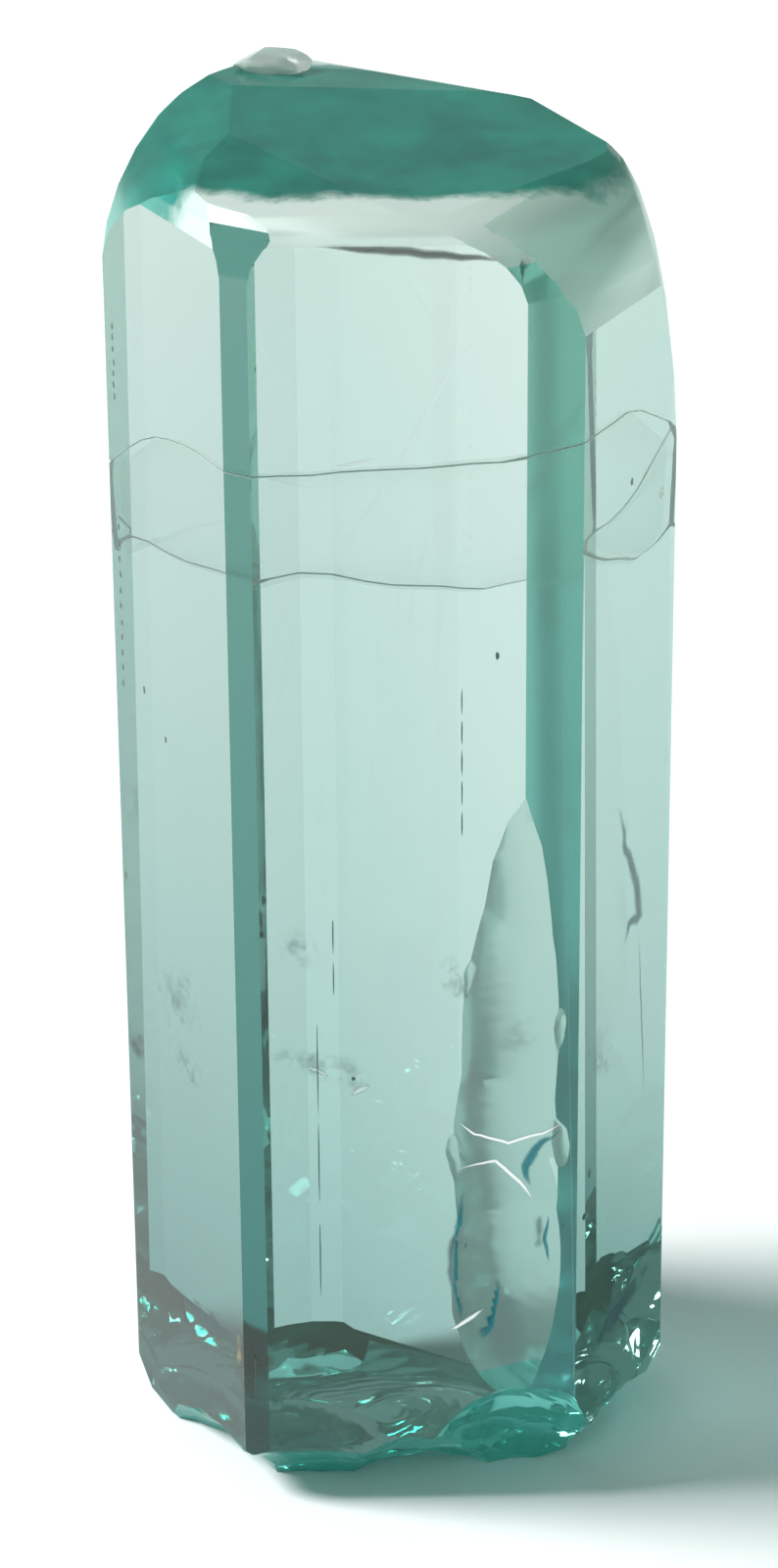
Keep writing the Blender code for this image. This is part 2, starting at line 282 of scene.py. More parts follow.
def absorb(tree, depth_colour):
    """The beryl's own colour: plain absorption that leaves depth_colour of white light after DEPTH."""
    left = linear(depth_colour)[:3]
    per_metre = [-math.log(channel) / DEPTH for channel in left]
    density = max(per_metre) * 1.02
    kept = [1 - loss / density for loss in per_metre]
    return node(tree, "ShaderNodeVolumeAbsorption", {"Color": (*kept, 1.0), "Density": density})


def zoned_tint(tree, colours):
    """A tint that runs from the base to the termination. Beryl is often zoned along its length.

    The zones lean, so that the left side is a little deeper in colour than the right.
    """
    place = node(tree, "ShaderNodeTexCoord")
    split = node(tree, "ShaderNodeSeparateXYZ", {"Vector": place.outputs["Object"]})
    height = node(
        tree, "ShaderNodeMath",
        {"operation": "MULTIPLY_ADD", 0: split.outputs["X"], 1: ZONE_LEAN, 2: split.outputs["Z"]})
    share = node(
        tree, "ShaderNodeMapRange",
        {"Value": height.outputs["Value"], "From Min": LOW.z, "From Max": HIGH.z})
    ramp = node(tree, "ShaderNodeValToRGB", {"Fac": share.outputs["Result"]})
    steps = ramp.color_ramp
    steps.interpolation = "B_SPLINE"
    steps.elements[0].position = 0.05
    steps.elements[0].color = linear(colours.lower)
    steps.elements[1].position = 0.85
    steps.elements[1].color = linear(colours.upper)
    steps.elements.new(0.33).color = linear(colours.middle)
    return ramp.outputs["Color"]


def basal_share(tree):
    """How much of a spot is the dull basal face: an oval with a ragged rim inside the worn shoulders."""
    place = node(tree, "ShaderNodeTexCoord")
    moved = node(
        tree, "ShaderNodeVectorMath",
        {"operation": "SUBTRACT", 0: place.outputs["Object"], 1: BASAL_CENTRE})
    scaled = node(
        tree, "ShaderNodeVectorMath",
        {"operation": "MULTIPLY", 0: moved.outputs["Vector"], 1: (1 / BASAL_RADII.x, 1 / BASAL_RADII.y, 0)})
    reach = node(tree, "ShaderNodeVectorMath", {"operation": "LENGTH", 0: scaled.outputs["Vector"]})
    split = node(tree, "ShaderNodeSeparateXYZ", {"Vector": scaled.outputs["Vector"]})
    leaning = node(
        tree, "ShaderNodeMath",
        {"operation": "MULTIPLY_ADD", 0: split.outputs["X"], 1: BASAL_LEAN, 2: reach.outputs["Value"]})
    cloud = node(
        tree, "ShaderNodeTexNoise",
        {"Vector": place.outputs["Object"], "Scale": 1 / RAG_SIZE, "Detail": 3.0, "Roughness": 0.6})
    ragged = node(
        tree, "ShaderNodeMath",
        {"operation": "MULTIPLY_ADD", 0: cloud.outputs["Fac"], 1: BASAL_RAG, 2: leaning.outputs["Value"]})
    inside = node(
        tree, "ShaderNodeMapRange",
        {"Value": ragged.outputs["Value"], "From Min": BASAL_RIM[0], "From Max": BASAL_RIM[1]})
    held = node(tree, "ShaderNodeAttribute", {"attribute_name": "finish_basal"})
    return node(
        tree, "ShaderNodeMath",
        {"operation": "MULTIPLY", 0: inside.outputs["Result"], 1: held.outputs["Fac"]}).outputs["Value"]


def basal_tint(tree, colours):
    """The basal face's tint, in soft blotches: painted shade, a dark teal that stands in for the light seen
    down the crystal's length through its end.
    """
    place = node(tree, "ShaderNodeTexCoord")
    cloud = node(
        tree, "ShaderNodeTexNoise",
        {"Vector": place.outputs["Object"], "Scale": 1 / BLOTCH_SIZE, "Detail": 3.0, "Roughness": 0.6})
    shade = node(
        tree, "ShaderNodeMapRange",
        {"Value": cloud.outputs["Fac"], "From Min": 0.35, "From Max": 0.65, "To Min": 0.0, "To Max": 0.9})
    darker = node(
        tree, "ShaderNodeMixRGB",
        {"blend_type": "MULTIPLY", "Fac": shade.outputs["Result"], "Color1": linear(colours.basal),
         "Color2": (0.45, 0.55, 0.58, 1.0)})
    return darker.outputs["Color"]


def shell_ripples(tree):
    """The ripples of a shell-like break, about half a millimetre apart."""
    place = node(tree, "ShaderNodeTexCoord")
    amount = node(tree, "ShaderNodeAttribute", {"attribute_name": "finish_ripple"})
    wave = node(
        tree, "ShaderNodeTexWave",
        {"Vector": place.outputs["Object"], "wave_type": "RINGS", "rings_direction": "SPHERICAL",
         "Scale": RINGS_PER_UNIT / SHELL_RIPPLE_PITCH, "Distortion": 6.0, "Detail": 1.0,
         "Detail Scale": 1.0})
    bump = node(
        tree, "ShaderNodeBump",
        {"Height": wave.outputs["Fac"], "Strength": amount.outputs["Fac"], "Distance": SHELL_RIPPLE_HEIGHT})
    return bump.outputs["Normal"]


def beryl(name):
    """Clear beryl: coloured by a little iron, and polished by growth where it is a face.

    One material covers the whole crystal, so light that enters by one finish and leaves by another has
    crossed one body. The mesh holds each finish's tint, roughness and clearness.
    """
    material, tree = new_material(name)
    colours = bpy.context.scene.crystal_colours
    tint = node(tree, "ShaderNodeAttribute", {"attribute_name": "finish_tint"})
    rough = node(tree, "ShaderNodeAttribute", {"attribute_name": "finish_roughness"})
    clear = node(tree, "ShaderNodeAttribute", {"attribute_name": "finish_clearness"})
    basal = basal_share(tree)
    finish = node(
        tree, "ShaderNodeMixRGB",
        {"Fac": basal, "Color1": tint.outputs["Color"], "Color2": basal_tint(tree, colours)})
    both = node(
        tree, "ShaderNodeMixRGB",
        {"blend_type": "MULTIPLY", "Fac": 1.0, "Color1": zoned_tint(tree, colours),
         "Color2": finish.outputs["Color"]})
    roughness = node(
        tree, "ShaderNodeMapRange",
        {"Value": basal, "To Min": rough.outputs["Fac"], "To Max": BASAL_ROUGHNESS})
    clearness = node(
        tree, "ShaderNodeMapRange",
        {"Value": basal, "To Min": clear.outputs["Fac"], "To Max": BASAL_CLEARNESS})
    dull = node(
        tree, "ShaderNodeMapRange",
        {"Value": clear.outputs["Fac"], "From Max": 0.1, "To Min": 0.1, "To Max": 0.5})
    shader = node(
        tree, "ShaderNodeBsdfPrincipled",
        {"IOR": BERYL_INDEX, "Base Color": both.outputs["Color"], "Roughness": roughness.outputs["Result"],
         "Transmission Weight": clearness.outputs["Result"], "Normal": shell_ripples(tree),
         "Specular IOR Level": dull.outputs["Result"]})
    node(
        tree, "ShaderNodeOutputMaterial",
        {"Surface": shader.outputs["BSDF"], "Volume": absorb(tree, colours.body).outputs["Volume"]})
    return material


def flaw_film(name, colour):
    """A film of tiny voids, air or stain in the beryl: patchy, and see-through between the patches.

    Air in a crack turns all of the light back, so a film of it shines as a mirror does.
    """
    strength, patch_size, cover, mirror = FILMS[name]
    material, tree = new_material(name)
    place = node(tree, "ShaderNodeTexCoord")
    cloud = node(
        tree, "ShaderNodeTexNoise",
        {"Vector": place.outputs["Object"], "Scale": 1 / patch_size, "Detail": 4.0, "Roughness": 0.65})
    patch = node(
        tree, "ShaderNodeMapRange",
        {"Value": cloud.outputs["Fac"], "From Min": PATCH_RANGE[0] - cover,
         "From Max": PATCH_RANGE[1] - cover})
    film = node(tree, "ShaderNodeAttribute", {"attribute_name": "film"})
    held = node(tree, "ShaderNodeMath", {"operation": "POWER", 0: film.outputs["Fac"], 1: 1.5})
    both = node(
        tree, "ShaderNodeMath",
        {"operation": "MULTIPLY", 0: patch.outputs["Result"], 1: held.outputs["Value"]})
    alpha = node(tree, "ShaderNodeMath", {"operation": "MULTIPLY", 0: both.outputs["Value"], 1: strength})
    shader = node(
        tree, "ShaderNodeBsdfPrincipled",
        {"Base Color": linear(colour), "Roughness": 0.35, "IOR": 1.45, "Metallic": mirror,
         "Alpha": alpha.outputs["Value"]})
    node(tree, "ShaderNodeOutputMaterial", {"Surface": shader.outputs["BSDF"]})
    return material


def dark_speck(name):
    """A grain of another mineral, or a small open pit that holds dirt: dark and dull."""
    material, tree = new_material(name)
    place = node(tree, "ShaderNodeTexCoord")
    cloud = node(
        tree, "ShaderNodeTexNoise",
        {"Vector": place.outputs["Object"], "Scale": 1 / SPECK_MOTTLE, "Detail": 2.0})
    ramp = node(tree, "ShaderNodeValToRGB", {"Fac": cloud.outputs["Fac"]})
    dark = linear(bpy.context.scene.crystal_colours.speck)
    ramp.color_ramp.elements[0].color = dark
    ramp.color_ramp.elements[1].color = tuple(min(1.0, c * 3) for c in dark[:3]) + (1.0,)
    shader = node(
        tree, "ShaderNodeBsdfPrincipled", {"Base Color": ramp.outputs["Color"], "Roughness": 0.6})
    node(tree, "ShaderNodeOutputMaterial", {"Surface": shader.outputs["BSDF"]})
    return material


def matt_card(name, colour):
    """White card without a glaze: it shows a soft shadow and no highlight."""
    material, tree = new_material(name)
    shader = node(tree, "ShaderNodeBsdfPrincipled", {"Base Color": linear(colour), "Roughness": 0.7})
    node(tree, "ShaderNodeOutputMaterial", {"Surface": shader.outputs["BSDF"]})
    return material


# ---------------------------------------------------------------- the crystal

# How close two directions have to be, as the product of their unit vectors.
SAME_PLANE = 0.99998
SAME_FACE = 0.99995
SAME_EDGE = 0.9999

# Slopes at the termination, as the upward part of a spot's normal.
UPRIGHT = 0.12
STEEP = 0.55  # a shoulder steeper than this takes the finish of the narrow face below it
NEARLY_LEVEL = 0.97
STUB_SIDE = 0.985
NARROW_REACH = 12  # degrees to each side of a narrow face's bearing
SIDE_LIMIT = 140  # a shoulder with a bearing further round than this many degrees is a front one

# Roughness, clearness, ripples and share of basal face of each finish. A worn or etched surface scatters
# some of the light.
FINISHES = {
    "face": (0.01, 1.0, 0.0, 0.0),
    "left": (0.01, 1.0, 0.0, 0.0),
    "right": (0.01, 1.0, 0.0, 0.0),
    # The narrow faces are partly dull, so that their painted teal shade shows as an even band.
    "narrow_left": (0.10, 0.92, 0.0, 0.0),
    "narrow_right": (0.15, 0.78, 0.0, 0.0),
    "worn": (0.30, 0.48, 0.0, 1.0),
    "shoulder": (0.20, 0.50, 0.0, 1.0),
    "stub": (0.22, 0.66, 0.9, 0.0),
    "groove": (0.35, 0.40, 0.0, 0.0),
    "edge": (0.20, 0.75, 0.0, 0.0),
    "scar": (0.14, 0.62, 0.10, 0.0),
    "broken": (0.05, 0.66, 0.40, 0.0),
    # The back of the break is dull and dark green all over: painted shade.
    "shaded_break": (0.50, 0.0, 0.2, 0.0),
}


def level_patches(bm):
    """Groups the faces into flat patches, and gives each face its patch's area."""
    areas = {}
    seen = set()
    for start in bm.faces:
        if start in seen:
            continue
        seen.add(start)
        patch = [start]
        queue = [start]
        while queue:
            face = queue.pop()
            for edge in face.edges:
                for other in edge.link_faces:
                    if other not in seen and other.normal.dot(start.normal) > SAME_PLANE:
                        seen.add(other)
                        patch.append(other)
                        queue.append(other)
        total = sum(face.calc_area() for face in patch)
        for face in patch:
            areas[face] = total
    return areas


def prism_face(face):
    """The name of the prism face that a face of the mesh is part of, if it is."""
    for name, bearing in FACE_BEARINGS.items():
        if face.normal.dot(outward(bearing)) > SAME_FACE:
            return name
    return None


def top_finish(normal, middle):
    """The finish of a spot on the worn shoulders, the termination or the stub that stands on it."""
    near_stub = (middle - STUB_PLACE).xy.length < STUB_REACH and middle.z > HIGH.z - STUB_HEIGHT
    if near_stub and (normal.z < STUB_SIDE or middle.z > HIGH.z - STUB_CROWN):
        return "stub"
    bearing = math.degrees(math.atan2(normal.x, normal.y))
    if normal.z < STEEP:
        for name in ("narrow_left", "narrow_right"):
            if abs((bearing - FACE_BEARINGS[name] + 180) % 360 - 180) < NARROW_REACH:
                return name
    if normal.z < UPRIGHT:
        return "face"
    return "shoulder" if abs(bearing) < SIDE_LIMIT and normal.z < NEARLY_LEVEL else "worn"


def which_finish(face):
    """The finish of a face of the crystal."""
    middle = face.calc_center_median()
    name = prism_face(face)
    if name:
        return name if name in FINISHES else "face"
    if middle.z > SHOULDER_FOOT:
        return top_finish(face.normal, middle)
    if middle.z < BASE_RIM:
        # Behind the line the break takes the painted shade; in front of it, the clear broken finish.
        return "shaded_break" if middle.y > BREAK_SHADE_LINE else "broken"
    if abs(face.normal.z) > 0.5 and middle.z > SCAR_PLACE.z:
        return "groove"
    if any(face.normal.dot(outward(bearing)) > SAME_EDGE for bearing in EDGE_BEARINGS):
        return "edge"
    beside_scar = middle.x > SCAR_PLACE.x and middle.y < SCAR_PLACE.y and middle.z < SCAR_PLACE.z
    return "scar" if beside_scar else "face"


def finish_tint(finish, height):
    """A finish's tint at a height. Some faces are deeper in colour at the foot."""
    colours = bpy.context.scene.crystal_colours
    if finish in ("face", "groove"):
        return (1.0, 1.0, 1.0, 1.0)
    high = Vector(linear(getattr(colours, finish)))
    low = Vector(linear(getattr(colours, finish + "_low", getattr(colours, finish))))
    return low.lerp(high, height / HIGH.z)


def put_finishes(bm):
    """Gives each face of the crystal its finish, as values that the beryl's material reads."""
    tint_layer = bm.loops.layers.float_color.new("finish_tint")
    rough_layer = bm.faces.layers.float.new("finish_roughness")
    clear_layer = bm.faces.layers.float.new("finish_clearness")
    ripple_layer = bm.faces.layers.float.new("finish_ripple")
    basal_layer = bm.faces.layers.float.new("finish_basal")
    for face in bm.faces:
        finish = which_finish(face)
        face[rough_layer], face[clear_layer], face[ripple_layer], face[basal_layer] = FINISHES[finish]
        for loop in face.loops:
            loop[tint_layer] = finish_tint(finish, loop.vert.co.z)


def mark_edges(bm):
    """Makes the crystal faces flat with sharp rims, and the shells and shoulders smooth."""
    areas = level_patches(bm)
    flat = {face for face in bm.faces if areas[face] > FLAT_AREA or prism_face(face)}
    for face in bm.faces:
        face.smooth = face not in flat
    for edge in bm.edges:
        if len(edge.link_faces) != 2:
            continue
        angle = edge.calc_face_angle(0)
        beside_face = any(face in flat for face in edge.link_faces)
        edge.smooth = not (angle > SHARP_ANGLE or (beside_face and angle > FACE_RIM_ANGLE))


def crystal_mesh():
    """The crystal's surface from the frame, with sharp crystal faces and smooth shells and shoulders."""
    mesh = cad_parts[NODE].data.copy()
    mesh.name = "crystal_surface"
    mesh.materials.clear()
    bm = bmesh.new()
    bm.from_mesh(mesh)
    bmesh.ops.remove_doubles(bm, verts=bm.verts, dist=0.5e-6)
    bm.normal_update()
    put_finishes(bm)
    mark_edges(bm)
    bm.to_mesh(mesh)
    bm.free()
    return mesh


class CRYSTAL_OT_body(bpy.types.Operator):
    """Builds the clear crystal itself"""

    bl_idname = "crystal.body"
    bl_label = "Crystal"

    def execute(self, context):
        piece = put_in_scene(crystal_mesh(), "crystal")
        piece.data.materials.append(beryl("aquamarine_beryl"))
        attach(piece, "root")
        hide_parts(NODE)
        return {"FINISHED"}


# ---------------------------------------------------------------- places on the crystal


def solid_tree():
    """The frame's solid, ready for rays."""
    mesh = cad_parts[NODE].data
    return BVHTree.FromPolygons(
        [vert.co for vert in mesh.vertices], [polygon.vertices for polygon in mesh.polygons])


SOLID = solid_tree()
RAY_REACH = 20  # rays towards the crystal start this far from its axis, in mm
RAY_STEP = 1e-6  # a ray goes on this far behind a hit
RAY_LEAN = Vector((0.31, 0.17, 1)).normalized()  # a direction that runs along no face or edge


def on_face(name, across, height, depth=0.0):
    """A point at a prism face: mm to the right of its middle line, mm above the base, mm under the skin.

    A depth below 0 is out from the skin, for what lies on it.
    """
    bearing = FACE_BEARINGS[name]
    side = outward(bearing)
    start = AXIS + side * RAY_REACH * MM + rightward(bearing) * across * MM
    start.z = height * MM
    skin = SOLID.ray_cast(start, -side)[0]
    if skin is None:
        raise ValueError(f"No skin at {name} {across} {height}")
    return skin - side * depth * MM


def outside(point):
    """Whether a point lies outside the solid: a ray from it then meets the skin an even number of times."""
    crossings = 0
    hit = SOLID.ray_cast(point, RAY_LEAN)[0]
    while hit is not None:
        crossings += 1
        hit = SOLID.ray_cast(hit + RAY_LEAN * RAY_STEP, RAY_LEAN)[0]
    return crossings % 2 == 0


# ---------------------------------------------------------------- fractures and flaws

FRACTURE_ZONE = (28.0 * MM, 39.0 * MM)  # between these heights the fracture reaches the skin
FRACTURE_TURNS = 72
FRACTURE_ROUNDS = 9
FRACTURE_RADIUS = 0.93  # how much of the section the film fills, as a share of the way to the groove
FRACTURE_WAVES = 380  # noise steps in a metre, as are the next three
VEIL_WAVES = 1500
VEIL_RAGS = 2600
CRACK_WAVERS = 2200
VEIL_STEPS = 14
CRACK_STEPS = 6  # from one point of a crack to the next
SKIN_REACH = 0.08 * MM  # a film that is out from the skin by less than this is kept, as part of the skin

# Veils: face, mm right, height, depth, half width, half height (mm), roll in degrees, how bent (mm).
VEILS = {
    "veil_left_upper": ("left", -1.6, 16.6, 0.9, 1.5, 1.1, 20, 0.5),
    "veil_left_lower": ("left", -0.8, 14.4, 0.7, 0.9, 0.6, -15, 0.3),
    "veil_front_upper": ("front", -3.1, 20.4, 1.4, 0.7, 0.8, 30, 0.4),
    "veil_front_lower": ("front", -2.4, 16.3, 0.8, 1.7, 0.55, -14, 0.5),
    "veil_front_dot": ("front", -1.3, 15.8, 0.5, 0.55, 0.45, 40, 0.2),
    "veil_hook": ("front", 1.8, 19.6, 0.4, 0.45, 0.8, 25, 0.4),
    "veil_right_smudge": ("right", 0.0, 15.0, 1.2, 1.1, 1.3, 0, 0.4),
    "veil_scar": ("front", 3.6, 16.8, 1.3, 1.1, 1.2, 0, 0.2),
}

# Blotches on the break, made as veils are: the rust ones are iron stain, and the others are dark films of
# painted shade.
RUST_AND_SHADE_BLOTCHES = {
    "stain_rust": ("narrow_left", -1.0, 5.4, 0.1, 0.9, 0.75, 0, 0.1),
    "stain_rust_left": ("left", 3.3, 4.9, 0.1, 1.3, 1.2, 0, 0.1),
    "shade_blotch_left": ("left", 0.2, 5.2, 0.1, 1.3, 0.6, 10, 0.1),
    "shade_blotch_right": ("right", 0.8, 5.0, 0.1, 2.3, 0.6, 12, 0.1),
    "shade_blotch_corner": ("narrow_right", -0.2, 6.4, 0.15, 0.9, 2.0, 14, 0.1),
    "shade_lens": ("front", 2.0, 9.9, 0.1, 0.25, 0.6, 0, 0.1),
    "shade_lens_right": ("narrow_right", 0.9, 9.9, 0.1, 0.25, 0.6, 0, 0.1),
}

# Cracks that hold air and look white: face, depth, half width (mm), then points as mm right and height. The
# glints are painted highlights made as such mirror films. The fine ridges and cracks of the spall lie on
# its skin, so their depth is just below 0; the white on the ridges is a painted highlight.
OPEN_CRACKS = {
    "glint_fracture": ("front", 0.10, 0.05, ((-1.7, 37.35), (-1.35, 37.4), (-0.5, 37.6))),
    "glint_pit": ("right", 0.20, 0.20, ((3.1, 33.8), (3.3, 34.2))),
    "glint_dot": ("front", 0.30, 0.14, ((-1.5, 15.4), (-0.9, 15.8))),
    "glint_veil": ("front", 0.60, 0.11, ((-2.9, 16.4), (-2.2, 16.0))),
    "glint_left": ("left", 0.40, 0.14, ((-1.2, 14.9), (-0.5, 14.3))),
    "glint_low": ("front", -0.02, 0.12, ((1.7, 6.6), (2.8, 7.2))),
    "crack_vee": ("front", -0.02, 0.08, ((1.9, 14.5), (2.5, 13.9), (3.6, 13.4), (4.7, 13.7), (5.4, 14.0))),
    "crack_ridge": ("front", -0.02, 0.09, ((1.9, 12.7), (3.2, 12.8), (4.0, 11.9), (4.45, 11.2))),
    "streak_right": ("right", 0.30, 0.16, ((1.5, 4.2), (1.9, 3.0), (2.3, 2.0))),
    "chip_top": ("front", 0.10, 0.16, ((4.02, 44.1), (4.06, 43.5))),
}

# Cracks seen from their dark side, listed as the open ones are.
DARK_CRACKS = {
    "crack_right": (
        "right", 0.3, 0.30, ((0.5, 24.2), (1.0, 22.6), (1.9, 20.8), (2.1, 19.4), (1.4, 19.4), (1.1, 18.8))),
    "crack_right_tail": ("right", 0.3, 0.06, ((2.1, 19.0), (2.4, 15.5), (2.7, 12.3))),
    "crack_scar": ("front", -0.02, 0.22, ((5.3, 13.7), (4.45, 13.1), (4.1, 12.5), (4.3, 11.7))),
    "crack_scar_foot": ("front", -0.02, 0.26, ((2.1, 11.8), (1.9, 10.0), (1.85, 8.2), (2.1, 6.9))),
    "crack_scar_lens": ("front", -0.02, 0.09, ((4.95, 10.6), (4.8, 9.6), (4.95, 8.7))),
    "hook_top": ("front", 0.1, 0.08, ((3.8, 43.9), (3.97, 43.7), (3.9, 43.1))),
}
# The line under the rim is a grey film of painted shade.
RIM_LINE = ("front", 0.08, 0.20, ((-2.3, 44.40), (0.5, 44.22), (3.7, 43.95)))

# Dark specks: face, mm right, height, half width, half height (mm).
SPECKS = (
    ("right", 1.0, 35.2, 0.09, 0.13),
    ("front", 3.2, 31.0, 0.06, 0.13),
    ("left", -2.7, 27.4, 0.07, 0.15),
    ("left", -1.3, 26.2, 0.07, 0.12),
    ("right", -1.7, 10.0, 0.10, 0.14),
    ("narrow_right", 1.6, 10.1, 0.07, 0.16),
    ("right", -1.35, 11.5, 0.07, 0.20),
    ("front", -1.4, 16.1, 0.06, 0.07),
    ("front", 3.9, 43.6, 0.06, 0.25),
)
SPECK_DEPTH = 0.05
GRAIN_THICKNESS = 0.03
GRAIN_LUMP = 0.35  # how uneven a grain is, as a share of its size

# Rows of pits on the left edge: mm of the lowest and highest end, how many.
EDGE_PITS = ((36.8, 39.6, 7), (26.8, 32.8, 11))
EDGE_PIT_PLACE = (-4.15, 0.07)  # mm right of the left face's middle line, and under the skin
EDGE_PIT_SIZE = (0.06, 0.12)

# Fine growth lines on the front face: mm right, lowest and highest point, how many dashes.
GROWTH_LINES = ((2.1, 24.7, 30.0, 5), (-2.0, 19.0, 22.0, 2), (-2.55, 7.6, 18.3, 3))
GROWTH_LINE_DEPTH = 0.06
GROWTH_LINE_HALF = 0.022
DASH_SHARE = 0.42  # half a dash, as a share of the pitch


def groove_points():
    """Where the fracture's groove runs: bearing and height, read from the frame's solid."""
    points = []
    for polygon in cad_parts[NODE].data.polygons:
        spot = polygon.center
        if FRACTURE_ZONE[0] < spot.z < FRACTURE_ZONE[1] and abs(polygon.normal.z) > 0.9:
            spot = spot - AXIS
            points.append((math.degrees(math.atan2(spot.x, spot.y)) % 360, spot.z))
    return sorted(points)


def groove_height(points, bearing):
    """The groove's height at a bearing, from the points on both sides of it."""
    before = max((p for p in points if p[0] <= bearing), default=(points[-1][0] - 360, points[-1][1]))
    after = min((p for p in points if p[0] > bearing), default=(points[0][0] + 360, points[0][1]))
    share = (bearing - before[0]) / max(1e-6, after[0] - before[0])
    return before[1] + (after[1] - before[1]) * share


def fracture_sheet():
    """A film across the whole section that meets the groove all round and bends down inside."""
    points = groove_points()
    heart = sum(height for _, height in points) / len(points)
    bm = bmesh.new()
    film = bm.verts.layers.float.new("film")
    middle = bm.verts.new(AXIS + Vector((0, 0, heart)))
    middle[film] = 0.3
    rows = []
    for step in range(FRACTURE_TURNS):
        bearing = 360 * step / FRACTURE_TURNS
        ahead = outward(bearing)
        height = groove_height(points, bearing)
        start = AXIS + ahead * RAY_REACH * MM + Vector((0, 0, height + 0.5 * MM))
        skin = SOLID.ray_cast(start, -ahead)[0]
        edge = (skin - AXIS).xy.length * FRACTURE_RADIUS
        row = []
        for index in range(1, FRACTURE_ROUNDS + 1):
            share = index / FRACTURE_ROUNDS
            spot = AXIS + ahead * edge * share
            wave = noise.noise(spot * FRACTURE_WAVES) * 0.3 * MM * (1 - share)
            spot.z = heart + (height - heart) * share + wave
            vert = bm.verts.new(spot)
            vert[film] = 0.3 + 0.7 * share ** 3
            row.append(vert)
        rows.append(row)
    for row, after in zip(rows, rows[1:] + rows[:1]):
        bm.faces.new((middle, row[0], after[0]))
        for inner in range(FRACTURE_ROUNDS - 1):
            bm.faces.new((row[inner], row[inner + 1], after[inner + 1], after[inner]))
    return film_piece(bm, "fracture")


def film_piece(bm, name):
    """Turns a sheet into a thin closed film, without what lies off the solid."""
    lost = [vert for vert in bm.verts if outside(vert.co) and SOLID.find_nearest(vert.co)[3] > SKIN_REACH]
    bmesh.ops.delete(bm, geom=lost, context="VERTS")
    bmesh.ops.recalc_face_normals(bm, faces=bm.faces)
    mesh = bpy.data.meshes.new(name)
    bm.to_mesh(mesh)
    bm.free()
    mesh.polygons.foreach_set("use_smooth", [True] * len(mesh.polygons))
    piece = put_in_scene(mesh, name)
    thick = piece.modifiers.new("thickness", "SOLIDIFY")
    thick.thickness = bpy.context.scene.crystal_sizes.film_thickness
    thick.offset = 0.0
    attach(piece, "root")
    return piece


def veil_sheet(name, face, across, height, depth, half_width, half_height, roll, bend):
    """A small bent film just under a face, ragged at its rim."""
    centre = on_face(face, across, height, depth)
    side = outward(FACE_BEARINGS[face])
    right = rightward(FACE_BEARINGS[face])
    tip = math.radians(roll)
    along = right * math.cos(tip) + Vector((0, 0, 1)) * math.sin(tip)
    up = Vector((0, 0, 1)) * math.cos(tip) - right * math.sin(tip)
    bm = bmesh.new()
    film = bm.verts.layers.float.new("film")
    grid = []
    for i in range(VEIL_STEPS + 1):
        row = []
        for j in range(VEIL_STEPS + 1):
            u = 2 * i / VEIL_STEPS - 1
            v = 2 * j / VEIL_STEPS - 1
            spot = centre + along * u * half_width * MM + up * v * half_height * MM
            ripple = noise.noise(spot * VEIL_WAVES) * 0.5
            spot -= side * (bend * (u * u + 0.6 * v + ripple) * 0.4) * MM
            vert = bm.verts.new(spot)
            ragged = noise.noise(spot * VEIL_RAGS) * 0.55
            vert[film] = min(1.0, max(0.0, (1 - math.hypot(u, v) + ragged) * 1.6))
            row.append(vert)
        grid.append(row)
    for row, after in zip(grid, grid[1:]):
        for j in range(VEIL_STEPS):
            bm.faces.new((row[j], row[j + 1], after[j + 1], after[j]))
    return film_piece(bm, name)


def crack_ribbon(name, face, depth, half_width, points):
    """A thin ribbon at a face along a line of points. It fades at its ends and its sides."""
    places = []
    for start, end in zip(points, points[1:]):
        places += [Vector(start).lerp(Vector(end), step / CRACK_STEPS) for step in range(CRACK_STEPS)]
    places.append(points[-1])
    line = [on_face(face, across, height, depth) for across, height in places]
    side = outward(FACE_BEARINGS[face])
    bm = bmesh.new()
    film = bm.verts.layers.float.new("film")
    last = len(line) - 1
    rows = []
    for index, spot in enumerate(line):
        ahead = (line[min(index + 1, last)] - line[max(index - 1, 0)]).normalized()
        across = ahead.cross(side)
        taper = math.sin(math.pi * (0.04 + 0.92 * index / last))
        waver = 0.5 * noise.noise(spot * CRACK_WAVERS)
        row = []
        for share in (-1, -0.5, 0, 0.5, 1):
            vert = bm.verts.new(spot + across * (share * taper + waver) * half_width * MM)
            vert[film] = min(1.0, 1.6 * taper) * (1 - share * share)
            row.append(vert)
        rows.append(row)
    for row, after in zip(rows, rows[1:]):
        for j in range(4):
            bm.faces.new((row[j], row[j + 1], after[j + 1], after[j]))
    return film_piece(bm, name)


class CRYSTAL_OT_fracture(bpy.types.Operator):
    """Builds the film of the healed fracture that crosses the upper part"""

    bl_idname = "crystal.fracture"
    bl_label = "Fracture"

    def execute(self, context):
        colour = context.scene.crystal_colours.fracture
        fracture_sheet().data.materials.append(flaw_film("healed_fracture", colour))
        return {"FINISHED"}


class CRYSTAL_OT_veils(bpy.types.Operator):
    """Builds the small wispy veils under the faces"""

    bl_idname = "crystal.veils"
    bl_label = "Veils"

    def execute(self, context):
        material = flaw_film("wispy_veil", context.scene.crystal_colours.veil)
        for name, values in VEILS.items():
            veil_sheet(name, *values).data.materials.append(material)
        return {"FINISHED"}


